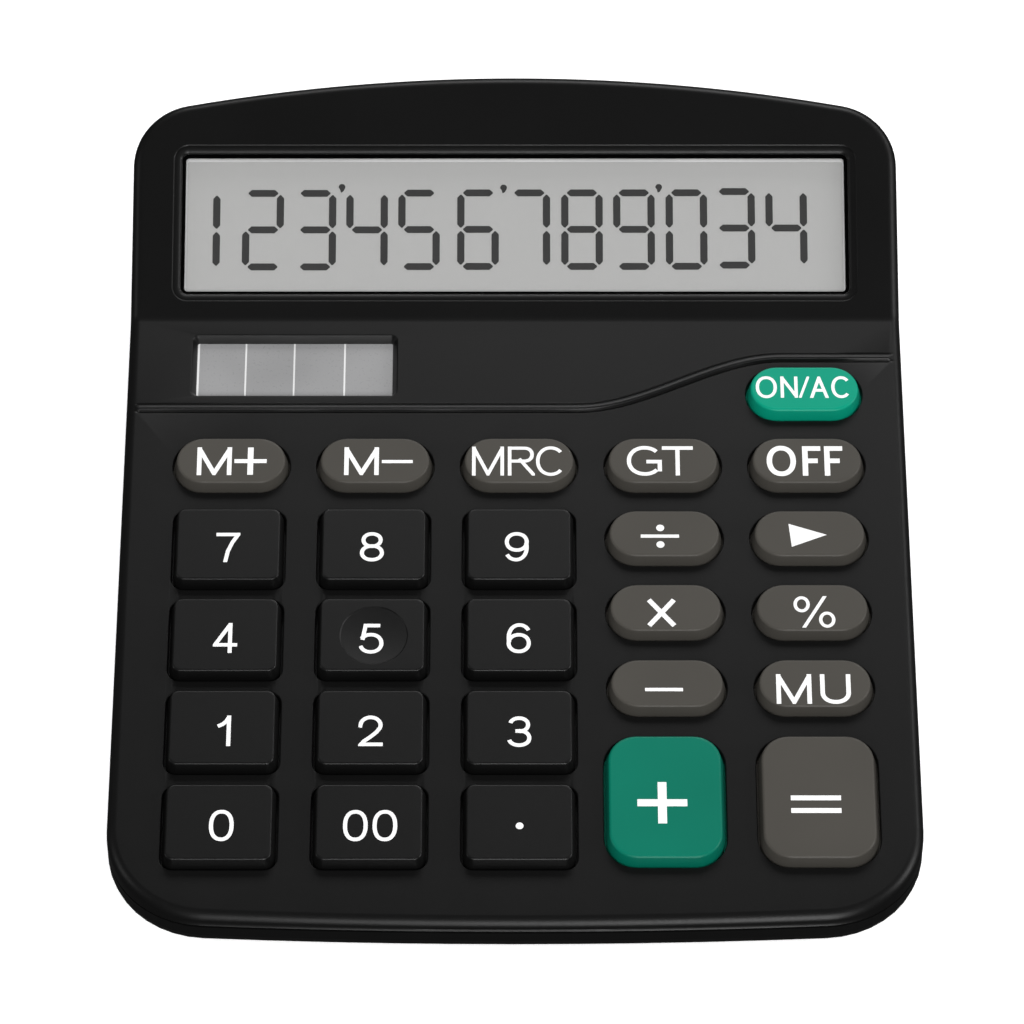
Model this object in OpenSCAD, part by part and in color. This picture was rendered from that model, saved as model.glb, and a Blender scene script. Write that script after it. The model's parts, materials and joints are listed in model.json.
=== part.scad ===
// Desk calculator with a sloping display, a solar cell and twenty-six keys.
// Units are millimetres. X runs across the keyboard, Y runs away from the user, Z is up.
// The origin is the centre of the footprint, on the table under the feet.

/* [Case] */
// Width of the case across the keyboard
case_w = 118; // [116:0.5:122]
// Length of the case from the front edge to the back edge
case_l = 147; // [145:0.5:150]
// Slope of the key deck in degrees
deck_slope = 7; // [6.5:0.1:7.5]
// Slope of the display panel in degrees
panel_slope = 25.2; // [24.5:0.1:26]
// Thickness of the key deck
deck_t = 1.6; // [1.5:0.1:1.7]
// Thickness of the side walls
wall = 2; // [1.8:0.1:2.2]
// Radius of the front corners seen from above
front_r = 15; // [12:0.5:15]
// Radius of the back corners seen from above
back_r = 10; // [8:0.5:11]
// Rounding of the top edges
edge_r = 1.5; // [1.2:0.1:1.6]

/* [Keys] */
// Distance between key columns
col_pitch = 21.63; // [21.4:0.01:21.8]
// Distance between rows of black keys
row_pitch = 15.83; // [15.7:0.01:15.9]
// Distance between rows of grey keys
oval_pitch = 13.03; // [12.95:0.01:13.1]
// Height of the black keys above the deck
black_rise = 1.75; // [1.6:0.05:2]
// Height of the grey keys above the deck
oval_rise = 1.75; // [1.6:0.05:2]
// Height of the two tall keys above the deck
tall_rise = 1.75; // [1.6:0.05:2]
// Travel of a key
travel = 1.3; // [1:0.1:1.3]
// Gap round each key in the deck
key_gap = 0.33; // [0.3:0.01:0.4]

/* [Display] */
// Width of the opening over the display
win_w = 101.7; // [100:0.1:102]
// Height of the opening over the display
win_l = 21.8; // [21:0.1:22]
// Depth of the display below the panel
win_d = 1.2; // [1:0.1:1.3]

/* [Hidden] */
$fn = 48;
floor_z = 1.2;
floor_t = 1.5;
seam_z = 6;
deck_y = -case_l / 2 + 1.45;
deck_z = 8.28;
crease_v = 103.95;
crease_y = deck_y + crease_v * cos(deck_slope);
crease_z = deck_z + crease_v * sin(deck_slope);
panel_len = 39.45;
front_R = 950;
back_R = 285;
col = [for (i = [-2:2]) 0.6 + i * col_pitch];
row = [for (i = [0:3]) 14.38 + i * row_pitch];
orow = [for (i = [0:4]) 37.72 + i * oval_pitch];
tall_x = [col[3] - 0.54, col[4]];
tall_v = 18.63;
black_w = 16.2;
black_l = 13.25;
oval_w = 17.05;
oval_l = 8.7;
tall_w = 17.05;
tall_l = 20.95;
flange = 1.1;
flange_top = deck_t + 0.1;
flange_t = 0.8;
stem_end = flange_top + flange_t + 0.1;
sheet_top = stem_end + travel + 0.2;
sheet_t = 0.7;
board_top = sheet_top + sheet_t;
board_t = 1.2;
cell_y = 50;
cell_z = 10.25;
hinge_y = 41.5;
screw_x = 39;
screw_y = -68.7;

// Sub-part to build, or all of them

// ---- frames ----

// Deck frame: X across, Y up the slope from the front edge, Z out of the deck
module on_deck(x = 0, v = 0, h = 0) {
    translate([0, deck_y, deck_z])
        rotate([deck_slope, 0, 0])
            translate([x, v, h])
                children();
}

// Panel frame: X across, Y up the slope from the crease, Z out of the display panel
module on_panel(x = 0, w = 0, h = 0) {
    translate([0, crease_y, crease_z])
        rotate([panel_slope, 0, 0])
            translate([x, w, h])
                children();
}

// ---- outlines ----

function arc(cx, cy, r, a0, a1, n) =
    [for (i = [0:n]) [cx + r * cos(a0 + (a1 - a0) * i / n), cy + r * sin(a0 + (a1 - a0) * i / n)]];

// Front half outline from the right end of line y = back round to its left end,
// inset by d, with the middle of the front edge at y = 0
function front_pts(d, back) = let (
        cx = case_w / 2 - front_r,
        k = sqrt(pow(front_R - front_r, 2) - cx * cx),
        t = asin(cx / (front_R - front_r))
    ) concat(
        [[case_w / 2 - d, back]],
        arc(cx, front_R - k, front_r - d, 0, -90 + t, 10),
        arc(0, front_R, front_R - d, -90 + t * 0.8, -90 - t * 0.8, 8),
        arc(-cx, front_R - k, front_r - d, -90 - t, -180, 10),
        [[-case_w / 2 + d, back]]
    );

// Back half outline from the left end of line y = front round to its right end,
// inset by d, with the middle of the back edge at y = 0
function back_pts(d, front) = let (
        cx = case_w / 2 - back_r,
        k = sqrt(pow(back_R - back_r, 2) - cx * cx),
        t = asin(cx / (back_R - back_r))
    ) concat(
        [[-case_w / 2 + d, front]],
        arc(-cx, -back_R + k, back_r - d, 180, 90 + t, 8),
        arc(0, -back_R, back_R - d, 90 + t * 0.9, 90 - t * 0.9, 16),
        arc(cx, -back_R + k, back_r - d, 90 - t, 0, 8),
        [[case_w / 2 - d, front]]
    );

function moved(pts, y) = [for (p = pts) [p[0], p[1] + y]];

module rounded_rect(w, l, r) {
    square([w - 2 * r, l], center = true);
    square([w, l - 2 * r], center = true);
    for (x = [-1, 1], y = [-1, 1])
        translate([x * (w / 2 - r), y * (l / 2 - r)])
            circle(r);
}

// Thin plate of the footprint, inset by d, at height z
module foot_plate(d, z, t = 0.02) {
    translate([0, 0, z])
        linear_extrude(t)
            polygon(concat(
                moved(front_pts(d, 40), -case_l / 2),
                moved(back_pts(d, -60), case_l / 2)
            ));
}

// ---- case shells ----

// Solid under the key deck: inset d and drop h step round the top edge
module deck_block(steps, drop, low, inset) {
    hull() {
        for (s = steps)
            on_deck(0, -1.46, -drop - s[1] - 0.02)
                linear_extrude(0.02)
                    polygon(front_pts(inset + s[0], 107));
        translate([0, -case_l / 2, low])
            linear_extrude(0.02)
                polygon(front_pts(inset, case_l / 2 + 38));
    }
}

// Solid under the display panel
module panel_block(steps, drop, low, inset) {
    hull() {
        for (s = steps)
            on_panel(0, panel_len, -drop - s[1] - 0.02)
                linear_extrude(0.02)
                    polygon(back_pts(inset + s[0], -panel_len - 2));
        translate([0, case_l / 2, low])
            linear_extrude(0.02)
                polygon(back_pts(inset, -case_l / 2 + 26));
    }
}

// A frustum cut for a window: opening w by l at the bottom, wider by b all round at the surface
module bevel_cut(w, l, d, b) {
    k = (b / d);
    intersection() {
        rotate([90, 0, 0])
            linear_extrude(l + 4 * b, center = true)
                polygon([[-w / 2, -d], [w / 2, -d], [w / 2 + b + k, 1], [-w / 2 - b - k, 1]]);
        rotate([90, 0, 90])
            linear_extrude(w + 4 * b, center = true)
                polygon([[-l / 2, -d], [l / 2, -d], [l / 2 + b + k, 1], [-l / 2 - b - k, 1]]);
    }
}

// Centre line of the raised line across the deck: straight, an S bend, straight
function bead_v(x) = let (s = min(1, max(0, (x - 9.5) / 31)))
    87.5 + 9.3 * s * s * (3 - 2 * s);

module bead_line(w) {
    xs = concat([-58.2, 0], [for (x = [9.5:2:41]) x], [58.2]);
    polygon(concat(
        [for (x = xs) [x, bead_v(x) - w / 2]],
        [for (i = [len(xs) - 1:-1:0]) [xs[i], bead_v(xs[i]) + w / 2]]
    ));
}

module black_slots() {
    for (c = [0:2], r = [0:3])
        on_deck(col[c], row[r], -4)
            linear_extrude(8)
                rounded_rect(black_w + 2 * key_gap, black_l + 2 * key_gap, 1.6 + key_gap);
}

module oval_slots() {
    spots = concat(
        [for (c = [0:4]) [col[c], orow[3]]],
        [[col[4], orow[4]]],
        [for (c = [3:4], r = [0:2]) [col[c], orow[r]]]
    );
    for (p = spots)
        on_deck(p[0], p[1], -4)
            linear_extrude(8)
                stadium(oval_w + 2 * key_gap, oval_l + 2 * key_gap);
}

module stadium(w, l) {
    square([w - l, l], center = true);
    for (x = [-1, 1])
        translate([x * (w - l) / 2, 0])
            circle(l / 2);
}

module top_case() {
    steps = [
        [edge_r, 0],
        [edge_r * 0.5, edge_r * 0.134],
        [edge_r * 0.134, edge_r * 0.5],
        [0, edge_r]
    ];
    color("#26272a")
        difference() {
            union() {
                difference() {
                    union() {
                        deck_block(steps, 0, seam_z + 0.15, 0);
                        panel_block(steps, 0, seam_z + 0.15, 0);
                    }
                    deck_block([[0, 0]], deck_t, seam_z - 1, wall);
                    panel_block([[0, 0]], 2, seam_z - 1, wall);
                }
                on_deck(0, 0, -0.4)
                    linear_extrude(0.75)
                        bead_line(1);
                // front screw bosses
                for (s = [-1, 1])
                    translate([s * screw_x, screw_y, 4.5])
                        cylinder(h = 3.3, r = 2.1);
                // back screw bosses
                for (s = [-1, 1])
                    translate([s * 48, 61.2, 12.1]) {
                        cylinder(h = 14, r = 2.8);
                        translate([-1, 1, 0])
                            cube([2, 2.6, 14]);
                    }
                // posts that hold the circuit board
                for (x = [-42, -10, 22])
                    on_deck(x, 85.2, -board_top)
                        cylinder(h = board_top - deck_t + 0.2, r = 2);
                // lips that hold the display window
                for (s = [-1, 1])
                    on_panel(0, 15.3 + s * 15.4, -3.6)
                        translate([-50, -0.6, 0])
                            cube([100, 1.2, 2]);
            }
            black_slots();
            oval_slots();
            for (x = tall_x)
                on_deck(x, tall_v, -4)
                    linear_extrude(8)
                        rounded_rect(tall_w + 2 * key_gap, tall_l + 2 * key_gap, 4.4 + key_gap);
            // display opening with its bevel, and the rebate for the window
            on_panel(0, 15.3, 0)
                bevel_cut(win_w, win_l, win_d, 1.9);
            on_panel(0, 15.3, -3)
                linear_extrude(3)
                    rounded_rect(win_w, win_l, 0.6);
            on_panel(0, 15.3, -win_d - 2)
                linear_extrude(2)
                    rounded_rect(106, 26, 1);
            // solar opening with its bevel, and the rebate for the cell
            on_deck(-33.6, 95.3, 0)
                bevel_cut(29.9, 9.8, 1.2, 0.7);
            on_deck(-33.6, 95.3, -3)
                linear_extrude(3)
                    square([29.9, 9.8], center = true);
            on_deck(-33.6, 95.3, -1.4 - 2)
                linear_extrude(2)
                    square([32.4, 12.1], center = true);
            // room for the lower case's lip along the back
            intersection() {
                foot_plate(wall, seam_z - 0.5, 1.3);
                translate([-60, 55, 0])
                    cube([120, 20, 10]);
            }
            // pilot holes
            for (s = [-1, 1]) {
                translate([s * screw_x, screw_y, 4])
                    cylinder(h = 3.3, r = 1.05);
                translate([s * 48, 61.2, 11])
                    cylinder(h = 9, r = 1.05);
            }
            for (x = [-42, -10, 22])
                on_deck(x, 85.2, -board_top - 1)
                    cylinder(h = 3.6, r = 0.85);
        }
}

// Outside of the lower case
module tub() {
    hull() {
        foot_plate(2.6, floor_z, 0.1);
        foot_plate(1.2, floor_z + 0.6, 0.1);
        foot_plate(0.3, floor_z + 1.6, 0.1);
        foot_plate(0, floor_z + 2.8, seam_z - 0.15 - floor_z - 2.8);
    }
}

module bottom_case() {
    color("#232427")
        difference() {
            union() {
                difference() {
                    tub();
                    foot_plate(wall + 0.6, floor_z + floor_t, 10);
                }
                // locating lip inside the upper case
                difference() {
                    foot_plate(wall + 0.15, seam_z - 1, 1.5);
                    foot_plate(wall + 0.9, seam_z - 2, 4);
                }
                // front screw posts
                intersection() {
                    tub();
                    for (s = [-1, 1])
                        translate([s * screw_x, screw_y, floor_z + 0.1])
                            cylinder(h = 3.1, r = 2.6);
                }
                // back screw posts
                for (s = [-1, 1])
                    translate([s * 48, 61.2, floor_z + 0.3])
                        cylinder(h = 10.5, r = 3.5);
                // battery box
                translate([-31.7, 39.8, floor_z + 0.3])
                    cube([61.9, 20.4, 17]);
                // ribs that carry the circuit board
                for (v = [6.5, 37, 68])
                    for (x = [-36, 0.6, 36])
                        rib(x, v);
            }
            // battery chamber, open at the bottom
            translate([-30.3, 41.2, 0])
                cube([59.1, 17.6, 17.5]);
            // slots for the door's two hook tabs
            for (x = [-20, 14])
                translate([x - 0.3, 38, floor_z + floor_t])
                    cube([4.6, 5, 2]);
            // finger notch behind the door
            translate([-0.75, 60.6, floor_z - 2])
                cylinder(h = 2.9, r = 5);
            // wire exits
            for (x = [-28.6, 25.6])
                translate([x, 38, 14.2])
                    cube([1.6, 5, 1.6]);
            // room in the lip for the upper case's front bosses
            for (s = [-1, 1])
                translate([s * screw_x, screw_y, 4.45])
                    cylinder(h = 3, r = 2.35);
            // screw holes and their counterbores
            for (s = [-1, 1]) {
                translate([s * screw_x, screw_y, 0])
                    cylinder(h = 6, r = 1.15);
                translate([s * screw_x, screw_y, 0])
                    cylinder(h = 3.1, r = 1.9);
                translate([s * 48, 61.2, 0])
                    cylinder(h = 14, r = 1.25);
                translate([s * 48, 61.2, 0])
                    cylinder(h = 9, r = 2.4);
            }
            // shallow seats for the feet
            for (s = [-1, 1], y = [-57, 60])
                translate([s * (y < 0 ? 45 : 38.5), y, 0])
                    cylinder(h = floor_z + 0.5, r = 4.6);
        }
}

// Rib from the floor up to the underside of the circuit board
module rib(x, v) {
    y = deck_y + v * cos(deck_slope) + (board_top + board_t + 0.1) * sin(deck_slope);
    z = deck_z + v * sin(deck_slope) - (board_top + board_t + 0.1) * cos(deck_slope);
    translate([x - 4, y, floor_z + 1])
        cube([8, 1, z - floor_z - 1]);
}

// ---- display ----

module display_window() {
    color("#c8d0d4", 0.5)
        on_panel(0, 15.3, -win_d - 0.8)
            linear_extrude(0.8)
                rounded_rect(105.4, 25.4, 0.8);
}

module lcd_glass() {
    color("#b9bab2")
        on_panel(0, 15.3, -win_d - 3.1)
            linear_extrude(2.2)
                square([105.4, 25.4], center = true);
}

module lcd_reflector() {
    color("#a9aba8")
        on_panel(0, 15.3, -win_d - 3.4)
            linear_extrude(0.25)
                square([104.4, 24], center = true);
}

module lcd_holder() {
    color("#3a3b3d")
        on_panel(0, 15.3, 0)
            difference() {
                translate([0, 0, -win_d - 4.5])
                    linear_extrude(4.5 - 0.9)
                        square([109.4, 28.6], center = true);
                translate([0, 0, -win_d - 3.45])
                    linear_extrude(6)
                        square([105.8, 25.8], center = true);
                for (x = [-1, 1])
                    translate([x * 27, 0, -win_d - 5])
                        linear_extrude(3)
                            square([34, 15], center = true);
                translate([-31, -16, -win_d - 3])
                    cube([62, 4, 0.8]);
            }
}

module lcd_ribbon() {
    color("#b5763a")
        translate([-29, 0, 0])
            rotate([90, 0, 90])
                linear_extrude(58)
                    polygon([
                        [35, 18.55], [33.6, 17.93], [32.6, 17.1], [31, 15.7], [29.6, 14.9],
                        [27.5, 14.36], [24, 13.95], [24, 13.7], [27.6, 14.11], [29.8, 14.67],
                        [31.3, 15.55], [32.8, 16.93], [33.75, 17.72], [35.1, 18.32]
                    ]);
}

module solar_cell() {
    color("#6b6f78")
        on_deck(-33.6, 95.3, -2.5)
            linear_extrude(1.1)
                square([31.6, 11.4], center = true);
}

// Insulated wire along a line of [y, z] points, centred on x
module wire(x, pts, d) {
    translate([x - d / 2, 0, 0])
        rotate([90, 0, 90])
            linear_extrude(d)
                polygon(concat(
                    [for (p = pts) [p[0], p[1] - d / 2]],
                    [for (i = [len(pts) - 1:-1:0]) [pts[i][0], pts[i][1] + d / 2]]
                ));
}

module solar_leads() {
    color("#8a2a22")
        for (x = [-44, -40])
            on_deck(x, 96.8, -board_top)
                cylinder(h = board_top - 2.5, r = 0.4);
}

// ---- electronics ----

module main_board() {
    color("#2f6b3a")
        on_deck(0, 0, -board_top - board_t)
            linear_extrude(board_t)
                difference() {
                    polygon([[-49, 6.2], [49, 6.2], [54, 11], [54, 98], [-54, 98], [-54, 11]]);
                    for (x = [-42, -10, 22])
                        translate([x, 85.2])
                            circle(1.1);
                }
}

function key_spots() = concat(
    [for (c = [0:2], r = [0:3]) [col[c], row[r]]],
    [for (c = [0:4]) [col[c], orow[3]]],
    [[col[4], orow[4]]],
    [for (c = [3:4], r = [0:2]) [col[c], orow[r]]],
    [for (x = tall_x) [x, tall_v]]
);

module key_membrane() {
    color("#8f938f")
        on_deck(0, 0, -board_top + 0.02)
            difference() {
                union() {
                    linear_extrude(sheet_t - 0.02)
                        translate([-53, 7])
                            square([106, 88.6]);
                    for (p = key_spots())
                        translate([p[0], p[1], 0])
                            cylinder(h = board_top - stem_end - 0.04, r1 = 4, r2 = 2.9);
                }
                for (p = key_spots())
                    translate([p[0], p[1], -0.5])
                        cylinder(h = board_top - stem_end, r1 = 3.5, r2 = 2.2);
                for (x = [-42, -10, 22])
                    translate([x, 85.2, -1])
                        cylinder(h = 3, r = 2.3);
            }
}

module carbon_pills() {
    color("#1b1b1c")
        for (p = key_spots())
            on_deck(p[0], p[1], -stem_end - 0.94)
                cylinder(h = 0.35, r = 1.5);
}

module controller() {
    color("#141414")
        on_deck(-12, 66, -board_top - board_t - 1.4)
            cylinder(h = 1.35, r1 = 6.5, r2 = 8);
}

module capacitor() {
    color("#2a3c6e")
        on_deck(22, 66, -board_top - board_t - 5.05)
            cylinder(h = 5, r = 2.5);
}

// ---- battery ----

module battery_cell() {
    color("#9a7b2c")
        translate([-24.4, cell_y, cell_z])
            rotate([0, 90, 0]) {
                cylinder(h = 49.2, r = 7.1);
                translate([0, 0, 49.2])
                    cylinder(h = 1.3, r = 2.7);
            }
}

module battery_spring() {
    color("#c9ccd0")
        translate([-30.1, cell_y, cell_z])
            rotate([0, 90, 0]) {
                translate([-5, -5, 0])
                    cube([10, 10, 0.5]);
                for (i = [0:3])
                    translate([0, 0, 0.8 + i * 1.2])
                        rotate_extrude()
                            translate([4.2 - i * 0.5, 0])
                                circle(0.4);
                for (i = [0:2])
                    rotate([0, 0, i * 180])
                        translate([4 - i * 0.5, 0, 0.8 + i * 1.2])
                            cylinder(h = 1.2, r = 0.3);
            }
}

module battery_plate() {
    color("#c9ccd0")
        translate([26.3, cell_y, cell_z])
            rotate([0, 90, 0])
                translate([-5, -5, 0])
                    cube([10, 10, 0.5]);
}

module lead_red() {
    color("#b3201c")
        wire(26.4, [[44.9, 15], [41, 15], [37, 14.3], [32, 12.9], [27, 12.4], [22.5, 12.6]], 1);
}

module lead_black() {
    color("#191919")
        wire(-27.8, [[44.9, 15], [41, 15], [37, 14.3], [32, 12.9], [27, 12.4], [22.5, 12.6]], 1);
}

module battery_door() {
    color("#232427")
        difference() {
            union() {
                // plate, with a rounded front edge that it turns about
                translate([-30, hinge_y + floor_t / 2, floor_z])
                    cube([58.5, 17 - floor_t / 2, floor_t]);
                translate([-30, hinge_y + floor_t / 2, floor_z + floor_t / 2])
                    rotate([0, 90, 0])
                        cylinder(h = 58.5, r = floor_t / 2);
                // hook tabs over the edge of the floor
                for (x = [-20, 14]) {
                    translate([x, hinge_y, floor_z + 1])
                        cube([4, 1, 1.9]);
                    translate([x, hinge_y - 1.4, floor_z + floor_t + 0.15])
                        cube([4, 2.4, 1]);
                }
                // snap tongue
                translate([-4.75, hinge_y + 15.3, floor_z + 1])
                    cube([8, 1, 3]);
            }
            // grip lines
            for (i = [0:3])
                translate([-6.75, hinge_y + 9 + i * 1.6, floor_z - 0.1])
                    cube([12, 0.7, 0.5]);
        }
}

// ---- fasteners and feet ----

module screw(r_head, h_head, r, len) {
    difference() {
        union() {
            cylinder(h = h_head, r = r_head);
            cylinder(h = h_head + len, r = r);
        }
        for (a = [0, 90])
            rotate([0, 0, a])
                translate([-r_head * 0.6, -0.25, -0.1])
                    cube([r_head * 1.2, 0.5, 0.7]);
    }
}

module case_screws() {
    color("#8d9094") {
        for (s = [-1, 1]) {
            translate([s * screw_x, screw_y, 1.8])
                screw(1.7, 1.3, 1, 3.6);
            translate([s * 48, 61.2, 7.5])
                screw(2.2, 1.5, 1, 9);
        }
    }
}

module board_screws() {
    color("#8d9094")
        for (x = [-42, -10, 22])
            on_deck(x, 85.2, -board_top - board_t - 1.1)
                screw(1.9, 1.1, 0.8, 3.4);
}

module rubber_feet() {
    color("#151515")
        for (s = [-1, 1], y = [-57, 60])
            translate([s * (y < 0 ? 45 : 38.5), y, 0])
                cylinder(h = floor_z + 0.5, r = 4.5);
}

// ---- keys ----

// Block with sloping sides and a chamfered top, from h = -low up to h = rise
module drafted(w, l, r, rise, draft, ch, low) {
    intersection() {
        translate([0, 0, -low])
            linear_extrude(rise + low)
                rounded_rect(w, l, r);
        rotate([90, 0, 0])
            linear_extrude(l + 2, center = true)
                side(w, rise, draft, ch, low + 1);
        rotate([90, 0, 90])
            linear_extrude(w + 2, center = true)
                side(l, rise, draft, ch, low + 1);
    }
}

module side(w, rise, draft, ch, low) {
    polygon([
        [-w / 2, -low], [w / 2, -low], [w / 2, 0], [w / 2 - draft, rise - ch],
        [w / 2 - draft - ch, rise], [-w / 2 + draft + ch, rise], [-w / 2 + draft, rise - ch],
        [-w / 2, 0]
    ]);
}

// The same with round ends
module drafted_oval(w, l, rise, draft, ch, low) {
    a = (w - l) / 2;
    rotate([90, 0, 90])
        linear_extrude(2 * a, center = true)
            side(l, rise, draft, ch, low);
    for (x = [-a, a])
        translate([x, 0, 0])
            rotate_extrude()
                polygon([
                    [0, -low], [l / 2, -low], [l / 2, 0], [l / 2 - draft, rise - ch],
                    [l / 2 - draft - ch, rise], [0, rise]
                ]);
}

module stem(rise) {
    translate([0, 0, -stem_end])
        cylinder(h = stem_end + rise - 0.8, r = 2.3);
}

module black_key(c, r) {
    on_deck(col[c], row[r])
        difference() {
            union() {
                drafted(black_w, black_l, 1.6, black_rise, 0.4, 0.3, flange_top + 0.4);
                translate([0, 0, -flange_top - flange_t])
                    linear_extrude(flange_t)
                        rounded_rect(black_w + 2 * flange, black_l + 2 * flange, 2);
            }
            difference() {
                translate([0, 0, -flange_top - flange_t - 1])
                    linear_extrude(flange_top + flange_t + black_rise - 0.4)
                        rounded_rect(black_w - 2.8, black_l - 2.8, 1);
                translate([0, 0, -5])
                    cylinder(h = 12, r = 2.2);
            }
        }
    on_deck(col[c], row[r])
        stem(black_rise);
}

module black(c, r) {
    color("#1d1e20")
        black_key(c, r);
}

module oval_key(x, v) {
    on_deck(x, v)
        difference() {
            union() {
                drafted_oval(oval_w, oval_l, oval_rise, 0.35, 0.3, flange_top + 0.4);
                translate([0, 0, -flange_top - flange_t])
                    linear_extrude(flange_t)
                        stadium(oval_w + 2 * flange, oval_l + 2 * flange);
            }
            difference() {
                translate([0, 0, -flange_top - flange_t - 1])
                    linear_extrude(flange_top + flange_t + oval_rise - 0.3)
                        stadium(oval_w - 2.6, oval_l - 2.6);
                translate([0, 0, -5])
                    cylinder(h = 12, r = 2.2);
            }
        }
    on_deck(x, v)
        stem(oval_rise);
}

module oval(x, v, tint = "#55524d") {
    color(tint)
        oval_key(x, v);
}

module tall_key(x, tint) {
    color(tint) {
        on_deck(x, tall_v)
            difference() {
                union() {
                    drafted(tall_w, tall_l, 4.4, tall_rise, 0.35, 0.3, flange_top + 0.4);
                    translate([0, 0, -flange_top - flange_t])
                        linear_extrude(flange_t)
                            rounded_rect(tall_w + 2 * flange, tall_l + 2 * flange, 5);
                }
                difference() {
                    translate([0, 0, -flange_top - flange_t - 1])
                        linear_extrude(flange_top + flange_t + tall_rise - 0.4)
                            rounded_rect(tall_w - 2.8, tall_l - 2.8, 3);
                    translate([0, 0, -5])
                        cylinder(h = 12, r = 2.2);
                }
            }
        on_deck(x, tall_v)
            stem(tall_rise);
    }
}

module key_5() {
    color("#1d1e20")
        difference() {
            black_key(1, 2);
            // shallow finger dish
            on_deck(col[1], row[2], black_rise + 31.5)
                sphere(r = 32);
        }
}

top_case();
bottom_case();
display_window();
lcd_glass();
lcd_reflector();
lcd_holder();
lcd_ribbon();
solar_cell();
solar_leads();
main_board();
key_membrane();
carbon_pills();
controller();
capacitor();
battery_cell();
battery_spring();
battery_plate();
lead_red();
lead_black();
battery_door();
case_screws();
board_screws();
rubber_feet();
black(0, 0);  // key_0
black(1, 0);  // key_00
black(2, 0);  // key_point
black(0, 1);  // key_1
black(1, 1);  // key_2
black(2, 1);  // key_3
black(0, 2);  // key_4
key_5();
black(2, 2);  // key_6
black(0, 3);  // key_7
black(1, 3);  // key_8
black(2, 3);  // key_9
tall_key(tall_x[0], "#1a8268");  // key_plus
tall_key(tall_x[1], "#55524d");  // key_equals
oval(col[3], orow[0]);  // key_minus
oval(col[4], orow[0]);  // key_mark_up
oval(col[3], orow[1]);  // key_times
oval(col[4], orow[1]);  // key_percent
oval(col[3], orow[2]);  // key_divide
oval(col[4], orow[2]);  // key_right
oval(col[0], orow[3]);  // key_mem_plus
oval(col[1], orow[3]);  // key_mem_minus
oval(col[2], orow[3]);  // key_mem_recall
oval(col[3], orow[3]);  // key_total
oval(col[4], orow[3]);  // key_off
oval(col[4], orow[4], "#079174");  // key_on
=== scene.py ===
"""Looks of a desk calculator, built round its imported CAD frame.

Shapes are worked out in millimetres, in the case's own sloping planes, and scaled to metres in
make_piece(). Places come from the CAD nodes' boxes and from the key joints' press direction.
"""
import json
import math

import bmesh
import bpy
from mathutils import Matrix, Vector


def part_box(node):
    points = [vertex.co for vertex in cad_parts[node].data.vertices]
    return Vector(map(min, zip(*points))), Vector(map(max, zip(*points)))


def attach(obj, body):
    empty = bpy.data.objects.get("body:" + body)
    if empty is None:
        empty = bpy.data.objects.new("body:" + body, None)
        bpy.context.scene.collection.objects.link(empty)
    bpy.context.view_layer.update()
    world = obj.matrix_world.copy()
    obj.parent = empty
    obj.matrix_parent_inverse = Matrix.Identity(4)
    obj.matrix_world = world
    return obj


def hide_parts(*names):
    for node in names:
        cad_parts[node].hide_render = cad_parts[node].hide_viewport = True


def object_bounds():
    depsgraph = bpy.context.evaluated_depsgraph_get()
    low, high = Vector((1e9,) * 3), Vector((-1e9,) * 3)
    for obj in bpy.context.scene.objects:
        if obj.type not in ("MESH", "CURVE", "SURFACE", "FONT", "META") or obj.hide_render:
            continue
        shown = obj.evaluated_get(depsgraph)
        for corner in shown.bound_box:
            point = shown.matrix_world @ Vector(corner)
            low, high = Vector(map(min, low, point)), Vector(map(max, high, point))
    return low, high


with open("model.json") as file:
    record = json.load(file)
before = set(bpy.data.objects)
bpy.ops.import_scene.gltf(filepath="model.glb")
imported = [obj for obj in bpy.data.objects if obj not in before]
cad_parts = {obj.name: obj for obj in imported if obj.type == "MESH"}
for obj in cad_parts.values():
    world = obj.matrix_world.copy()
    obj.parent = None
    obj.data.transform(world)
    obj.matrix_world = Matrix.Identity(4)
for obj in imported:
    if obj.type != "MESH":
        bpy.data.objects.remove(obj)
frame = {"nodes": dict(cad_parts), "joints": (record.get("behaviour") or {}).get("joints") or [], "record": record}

MM = 0.001
cad_low, cad_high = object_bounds()
HALF_W = cad_high.x / MM
HALF_L = cad_high.y / MM


# ---- camera ----

SENSOR = 36
LENS = 187.14
CAMERA_PLACE = Vector((-0.45, -516.17, 627.11))
CAMERA_TILT = 40        # degrees from looking straight down


def make_camera():
    data = bpy.data.cameras.new("camera")
    data.sensor_width = SENSOR
    data.lens = LENS
    camera = bpy.data.objects.new("camera", data)
    camera.location = CAMERA_PLACE * MM
    camera.rotation_euler = (math.radians(CAMERA_TILT), 0, 0)
    bpy.context.scene.collection.objects.link(camera)
    bpy.context.scene.camera = camera


make_camera()


# ---- planes of the case ----

def reach(node, axis):
    """Lowest and highest place of a CAD node along an axis, in millimetres."""
    places = [vertex.co.dot(axis) / MM for vertex in frame["nodes"][node].data.vertices]
    return min(places), max(places)


class Slope:
    """A sloping face: x across, a up the slope, h out of the face."""

    def __init__(self, angle, node, middle, top):
        """The face at which a CAD node has its middle at a = middle and its top at h = top."""
        self.angle = angle
        self.along = Vector((0, math.cos(angle), math.sin(angle)))
        self.up = Vector((0, -math.sin(angle), math.cos(angle)))
        self.start = sum(reach(node, self.along)) / 2 - middle
        self.level = reach(node, self.up)[1] - top

    def at(self, x, a, h=0.0):
        return Vector((x, 0, 0)) + self.along * (self.start + a) + self.up * (self.level + h)


def press_axis():
    joint = next(j for j in frame["joints"] if j["name"] == "key_0_press")
    return Vector(joint["axis"])


def largest_normal(node):
    """Direction of the node's largest flat face."""
    return max(frame["nodes"][node].data.polygons, key=lambda face: face.area).normal


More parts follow.
